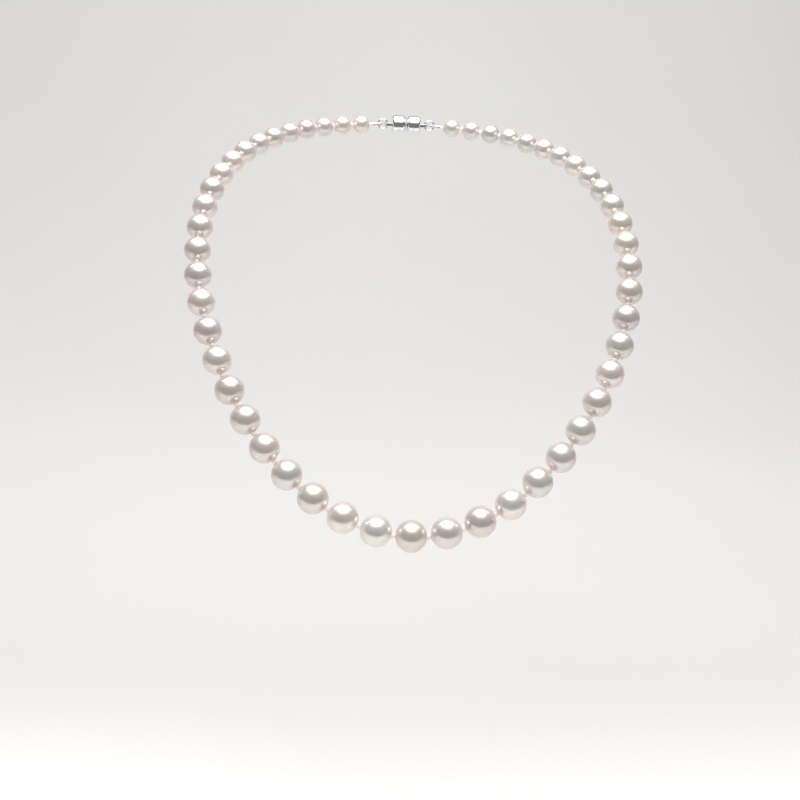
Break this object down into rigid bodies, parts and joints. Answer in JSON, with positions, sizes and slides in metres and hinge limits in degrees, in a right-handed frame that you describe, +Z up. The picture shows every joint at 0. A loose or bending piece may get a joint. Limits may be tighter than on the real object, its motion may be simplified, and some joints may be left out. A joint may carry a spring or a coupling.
{
  "type": "pearl necklace",
  "caption": "Single strand of round, graduated pearls knotted on one silk thread, closed at the nape by a magnetic clasp in two halves.",
  "frame": {"origin": "the middle of the closed clasp, at the nape", "axes": "+Z up as worn, -Y towards the front of the strand, +X to the right as seen from the front"},
  "size_m": [0.1256, 0.1221, 0.0996],
  "materials": {
    "pearl": "satin nacre with a rose overtone",
    "silk": "twisted silk",
    "gimp_wire": "bright fine wire",
    "clasp_metal": "polished",
    "magnet": "plated"
  },
  "bodies": {
    "front_centre": {"pearl_26": "pearl", "silk_thread": "silk"},
    "pearl_27": {"pearl_27": "pearl"},
    "pearl_28": {"pearl_28": "pearl"},
    "pearl_29": {"pearl_29": "pearl"},
    "pearl_30": {"pearl_30": "pearl"},
    "pearl_31": {"pearl_31": "pearl"},
    "pearl_32": {"pearl_32": "pearl"},
    "pearl_33": {"pearl_33": "pearl"},
    "pearl_34": {"pearl_34": "pearl"},
    "pearl_35": {"pearl_35": "pearl"},
    "pearl_36": {"pearl_36": "pearl"},
    "pearl_37": {"pearl_37": "pearl"},
    "pearl_38": {"pearl_38": "pearl"},
    "pearl_39": {"pearl_39": "pearl"},
    "pearl_40": {"pearl_40": "pearl"},
    "pearl_41": {"pearl_41": "pearl"},
    "pearl_42": {"pearl_42": "pearl"},
    "pearl_43": {"pearl_43": "pearl"},
    "pearl_44": {"pearl_44": "pearl"},
    "pearl_45": {"pearl_45": "pearl"},
    "pearl_46": {"pearl_46": "pearl"},
    "pearl_47": {"pearl_47": "pearl"},
    "pearl_48": {"pearl_48": "pearl"},
    "pearl_49": {"pearl_49": "pearl"},
    "pearl_50": {"pearl_50": "pearl"},
    "pearl_51": {"pearl_51": "pearl", "gimp_coil_right": "gimp_wire"},
    "pearl_25": {"pearl_25": "pearl"},
    "pearl_24": {"pearl_24": "pearl"},
    "pearl_23": {"pearl_23": "pearl"},
    "pearl_22": {"pearl_22": "pearl"},
    "pearl_21": {"pearl_21": "pearl"},
    "pearl_20": {"pearl_20": "pearl"},
    "pearl_19": {"pearl_19": "pearl"},
    "pearl_18": {"pearl_18": "pearl"},
    "pearl_17": {"pearl_17": "pearl"},
    "pearl_16": {"pearl_16": "pearl"},
    "pearl_15": {"pearl_15": "pearl"},
    "pearl_14": {"pearl_14": "pearl"},
    "pearl_13": {"pearl_13": "pearl"},
    "pearl_12": {"pearl_12": "pearl"},
    "pearl_11": {"pearl_11": "pearl"},
    "pearl_10": {"pearl_10": "pearl"},
    "pearl_09": {"pearl_09": "pearl"},
    "pearl_08": {"pearl_08": "pearl"},
    "pearl_07": {"pearl_07": "pearl"},
    "pearl_06": {"pearl_06": "pearl"},
    "pearl_05": {"pearl_05": "pearl"},
    "pearl_04": {"pearl_04": "pearl"},
    "pearl_03": {"pearl_03": "pearl"},
    "pearl_02": {"pearl_02": "pearl"},
    "pearl_01": {"pearl_01": "pearl", "gimp_coil_left": "gimp_wire"},
    "end_ring_right": {"end_ring_right": "clasp_metal"},
    "clasp_right": {"clasp_shell_right": "clasp_metal", "magnet_right": "magnet"},
    "end_ring_left": {"end_ring_left": "clasp_metal"},
    "clasp_left": {"clasp_shell_left": "clasp_metal", "magnet_left": "magnet"}
  },
  "joints": [
    {"name": "knot_26_27", "type": "hinge", "parent": "front_centre", "child": "pearl_27", "pos_m": [0.0047, -0.11484, -0.09239], "axis": [0.0638, 0.6392, -0.7664], "range_deg": [0, 14], "deforming": ["silk_thread"]},
    {"name": "knot_27_28", "type": "hinge", "parent": "pearl_27", "child": "pearl_28", "pos_m": [0.01378, -0.11412, -0.09026], "axis": [0.1708, 0.6663, -0.7259], "range_deg": [0, 14]},
    {"name": "knot_28_29", "type": "hinge", "parent": "pearl_28", "child": "pearl_29", "pos_m": [0.02211, -0.11276, -0.08639], "axis": [0.2325, 0.7073, -0.6675], "range_deg": [0, 14]},
    {"name": "knot_29_30", "type": "hinge", "parent": "pearl_29", "child": "pearl_30", "pos_m": [0.02953, -0.11082, -0.08128], "axis": [0.2506, 0.7485, -0.614], "range_deg": [0, 14]},
    {"name": "knot_30_31", "type": "hinge", "parent": "pearl_30", "child": "pearl_31", "pos_m": [0.03601, -0.10836, -0.07536], "axis": [0.6895, -0.5947, -0.4135], "range_deg": [-15, 15]},
    {"name": "knot_31_32", "type": "hinge", "parent": "pearl_31", "child": "pearl_32", "pos_m": [0.04162, -0.1054, -0.06893], "axis": [0.2076, 0.8034, -0.558], "range_deg": [0, 14]},
    {"name": "knot_32_33", "type": "hinge", "parent": "pearl_32", "child": "pearl_33", "pos_m": [0.04641, -0.10194, -0.06223], "axis": [-0.8354, 0.4691, 0.2864], "range_deg": [-15, 15]},
    {"name": "knot_33_34", "type": "hinge", "parent": "pearl_33", "child": "pearl_34", "pos_m": [0.05042, -0.09797, -0.05544], "axis": [0.1259, 0.8103, -0.5724], "range_deg": [0, 14]},
    {"name": "knot_34_35", "type": "hinge", "parent": "pearl_34", "child": "pearl_35", "pos_m": [0.05368, -0.09351, -0.0487], "axis": [0.9294, -0.3274, -0.1705], "range_deg": [-15, 15]},
    {"name": "knot_35_36", "type": "hinge", "parent": "pearl_35", "child": "pearl_36", "pos_m": [0.05619, -0.08854, -0.04214], "axis": [0.0491, 0.7671, -0.6396], "range_deg": [0, 14]},
    {"name": "knot_36_37", "type": "hinge", "parent": "pearl_36", "child": "pearl_37", "pos_m": [0.05796, -0.08309, -0.03587], "axis": [-0.9836, 0.1654, 0.0714], "range_deg": [-15, 15]},
    {"name": "knot_37_38", "type": "hinge", "parent": "pearl_37", "child": "pearl_38", "pos_m": [0.05898, -0.0772, -0.03002], "axis": [0.0044, 0.6777, -0.7353], "range_deg": [0, 14]},
    {"name": "knot_38_39", "type": "hinge", "parent": "pearl_38", "child": "pearl_39", "pos_m": [0.05926, -0.07094, -0.02466], "axis": [0.9999, 0.0106, 0.0037], "range_deg": [-15, 15]},
    {"name": "knot_39_40", "type": "hinge", "parent": "pearl_39", "child": "pearl_40", "pos_m": [0.05882, -0.0644, -0.01988], "axis": [0.0094, 0.5605, -0.8281], "range_deg": [0, 14]},
    {"name": "knot_40_41", "type": "hinge", "parent": "pearl_40", "child": "pearl_41", "pos_m": [0.05767, -0.05769, -0.0157], "axis": [-0.9812, -0.1862, -0.0507], "range_deg": [-15, 15]},
    {"name": "knot_41_42", "type": "hinge", "parent": "pearl_41", "child": "pearl_42", "pos_m": [0.05586, -0.05092, -0.01214], "axis": [0.0634, 0.4504, -0.8906], "range_deg": [0, 14]},
    {"name": "knot_42_43", "type": "hinge", "parent": "pearl_42", "child": "pearl_43", "pos_m": [0.05345, -0.04421, -0.00918], "axis": [0.9336, 0.3508, 0.0729], "range_deg": [-15, 15]},
    {"name": "knot_43_44", "type": "hinge", "parent": "pearl_43", "child": "pearl_44", "pos_m": [0.05047, -0.03767, -0.00677], "axis": [0.1461, 0.3814, -0.9128], "range_deg": [0, 14]},
    {"name": "knot_44_45", "type": "hinge", "parent": "pearl_44", "child": "pearl_45", "pos_m": [0.04698, -0.03138, -0.00485], "axis": [-0.8606, -0.5034, -0.0779], "range_deg": [-15, 15]},
    {"name": "knot_45_46", "type": "hinge", "parent": "pearl_45", "child": "pearl_46", "pos_m": [0.04302, -0.02543, -0.00337], "axis": [0.2276, 0.371, -0.9003], "range_deg": [0, 14]},
    {"name": "knot_46_47", "type": "hinge", "parent": "pearl_46", "child": "pearl_47", "pos_m": [0.03861, -0.01991, -0.00224], "axis": [0.7571, 0.6492, 0.0731], "range_deg": [-15, 15]},
    {"name": "knot_47_48", "type": "hinge", "parent": "pearl_47", "child": "pearl_48", "pos_m": [0.03379, -0.01488, -0.00142], "axis": [0.2759, 0.4196, -0.8647], "range_deg": [0, 14]},
    {"name": "knot_48_49", "type": "hinge", "parent": "pearl_48", "child": "pearl_49", "pos_m": [0.02859, -0.01044, -0.00085], "axis": [-0.609, -0.7906, -0.0641], "range_deg": [-15, 15]},
    {"name": "knot_49_50", "type": "hinge", "parent": "pearl_49", "child": "pearl_50", "pos_m": [0.02306, -0.00668, -0.00046], "axis": [0.258, 0.5103, -0.8204], "range_deg": [0, 14]},
    {"name": "knot_50_51", "type": "hinge", "parent": "pearl_50", "child": "pearl_51", "pos_m": [0.01723, -0.00369, -0.00022], "axis": [0.2163, 0.5594, -0.8002], "range_deg": [0, 14]},
    {"name": "ring_swing_right", "type": "hinge", "parent": "pearl_51", "child": "end_ring_right", "pos_m": [0.0088, 0, 0], "axis": [0, 0, 1], "range_deg": [-30, 30]},
    {"name": "clasp_swing_right", "type": "hinge", "parent": "end_ring_right", "child": "clasp_right", "pos_m": [0.0058, 0, 0], "axis": [0, 0, 1], "range_deg": [-45, 45]},
    {"name": "knot_25_26", "type": "hinge", "parent": "front_centre", "child": "pearl_25", "pos_m": [-0.0047, -0.11484, -0.09239], "axis": [0.0638, -0.6392, 0.7664], "range_deg": [0, 14]},
    {"name": "knot_24_25", "type": "hinge", "parent": "pearl_25", "child": "pearl_24", "pos_m": [-0.01378, -0.11412, -0.09026], "axis": [0.1708, -0.6663, 0.7259], "range_deg": [0, 14]},
    {"name": "knot_23_24", "type": "hinge", "parent": "pearl_24", "child": "pearl_23", "pos_m": [-0.02211, -0.11276, -0.08639], "axis": [0.2325, -0.7073, 0.6675], "range_deg": [0, 14]},
    {"name": "knot_22_23", "type": "hinge", "parent": "pearl_23", "child": "pearl_22", "pos_m": [-0.02953, -0.11082, -0.08128], "axis": [0.2506, -0.7485, 0.614], "range_deg": [0, 14]},
    {"name": "knot_21_22", "type": "hinge", "parent": "pearl_22", "child": "pearl_21", "pos_m": [-0.03601, -0.10836, -0.07536], "axis": [0.6895, 0.5947, 0.4135], "range_deg": [-15, 15]},
    {"name": "knot_20_21", "type": "hinge", "parent": "pearl_21", "child": "pearl_20", "pos_m": [-0.04162, -0.1054, -0.06893], "axis": [0.2076, -0.8034, 0.558], "range_deg": [0, 14]},
    {"name": "knot_19_20", "type": "hinge", "parent": "pearl_20", "child": "pearl_19", "pos_m": [-0.04641, -0.10194, -0.06223], "axis": [-0.8354, -0.4691, -0.2864], "range_deg": [-15, 15]},
    {"name": "knot_18_19", "type": "hinge", "parent": "pearl_19", "child": "pearl_18", "pos_m": [-0.05042, -0.09797, -0.05544], "axis": [0.1259, -0.8103, 0.5724], "range_deg": [0, 14]},
    {"name": "knot_17_18", "type": "hinge", "parent": "pearl_18", "child": "pearl_17", "pos_m": [-0.05368, -0.09351, -0.0487], "axis": [0.9294, 0.3274, 0.1705], "range_deg": [-15, 15]},
    {"name": "knot_16_17", "type": "hinge", "parent": "pearl_17", "child": "pearl_16", "pos_m": [-0.05619, -0.08854, -0.04214], "axis": [0.0491, -0.7671, 0.6396], "range_deg": [0, 14]},
    {"name": "knot_15_16", "type": "hinge", "parent": "pearl_16", "child": "pearl_15", "pos_m": [-0.05796, -0.08309, -0.03587], "axis": [-0.9836, -0.1654, -0.0714], "range_deg": [-15, 15]},
    {"name": "knot_14_15", "type": "hinge", "parent": "pearl_15", "child": "pearl_14", "pos_m": [-0.05898, -0.0772, -0.03002], "axis": [0.0044, -0.6777, 0.7353], "range_deg": [0, 14]},
    {"name": "knot_13_14", "type": "hinge", "parent": "pearl_14", "child": "pearl_13", "pos_m": [-0.05926, -0.07094, -0.02466], "axis": [0.9999, -0.0106, -0.0037], "range_deg": [-15, 15]},
    {"name": "knot_12_13", "type": "hinge", "parent": "pearl_13", "child": "pearl_12", "pos_m": [-0.05882, -0.0644, -0.01988], "axis": [0.0094, -0.5605, 0.8281], "range_deg": [0, 14]},
    {"name": "knot_11_12", "type": "hinge", "parent": "pearl_12", "child": "pearl_11", "pos_m": [-0.05767, -0.05769, -0.0157], "axis": [-0.9812, 0.1862, 0.0507], "range_deg": [-15, 15]},
    {"name": "knot_10_11", "type": "hinge", "parent": "pearl_11", "child": "pearl_10", "pos_m": [-0.05586, -0.05092, -0.01214], "axis": [0.0634, -0.4504, 0.8906], "range_deg": [0, 14]},
    {"name": "knot_09_10", "type": "hinge", "parent": "pearl_10", "child": "pearl_09", "pos_m": [-0.05345, -0.04421, -0.00918], "axis": [0.9336, -0.3508, -0.0729], "range_deg": [-15, 15]},
    {"name": "knot_08_09", "type": "hinge", "parent": "pearl_09", "child": "pearl_08", "pos_m": [-0.05047, -0.03767, -0.00677], "axis": [0.1461, -0.3814, 0.9128], "range_deg": [0, 14]},
    {"name": "knot_07_08", "type": "hinge", "parent": "pearl_08", "child": "pearl_07", "pos_m": [-0.04698, -0.03138, -0.00485], "axis": [-0.8606, 0.5034, 0.0779], "range_deg": [-15, 15]},
    {"name": "knot_06_07", "type": "hinge", "parent": "pearl_07", "child": "pearl_06", "pos_m": [-0.04302, -0.02543, -0.00337], "axis": [0.2276, -0.371, 0.9003], "range_deg": [0, 14]},
    {"name": "knot_05_06", "type": "hinge", "parent": "pearl_06", "child": "pearl_05", "pos_m": [-0.03861, -0.01991, -0.00224], "axis": [0.7571, -0.6492, -0.0731], "range_deg": [-15, 15]},
    {"name": "knot_04_05", "type": "hinge", "parent": "pearl_05", "child": "pearl_04", "pos_m": [-0.03379, -0.01488, -0.00142], "axis": [0.2759, -0.4196, 0.8647], "range_deg": [0, 14]},
    {"name": "knot_03_04", "type": "hinge", "parent": "pearl_04", "child": "pearl_03", "pos_m": [-0.02859, -0.01044, -0.00085], "axis": [-0.609, 0.7906, 0.0641], "range_deg": [-15, 15]},
    {"name": "knot_02_03", "type": "hinge", "parent": "pearl_03", "child": "pearl_02", "pos_m": [-0.02306, -0.00668, -0.00046], "axis": [0.258, -0.5103, 0.8204], "range_deg": [0, 14]},
    {"name": "knot_01_02", "type": "hinge", "parent": "pearl_02", "child": "pearl_01", "pos_m": [-0.01723, -0.00369, -0.00022], "axis": [0.2163, -0.5594, 0.8002], "range_deg": [0, 14]},
    {"name": "ring_swing_left", "type": "hinge", "parent": "pearl_01", "child": "end_ring_left", "pos_m": [-0.0088, 0, 0], "axis": [0, 0, -1], "range_deg": [-30, 30]},
    {"name": "clasp_swing_left", "type": "hinge", "parent": "end_ring_left", "child": "clasp_left", "pos_m": [-0.0058, 0, 0], "axis": [0, 0, -1], "range_deg": [-45, 45]}
  ]
}
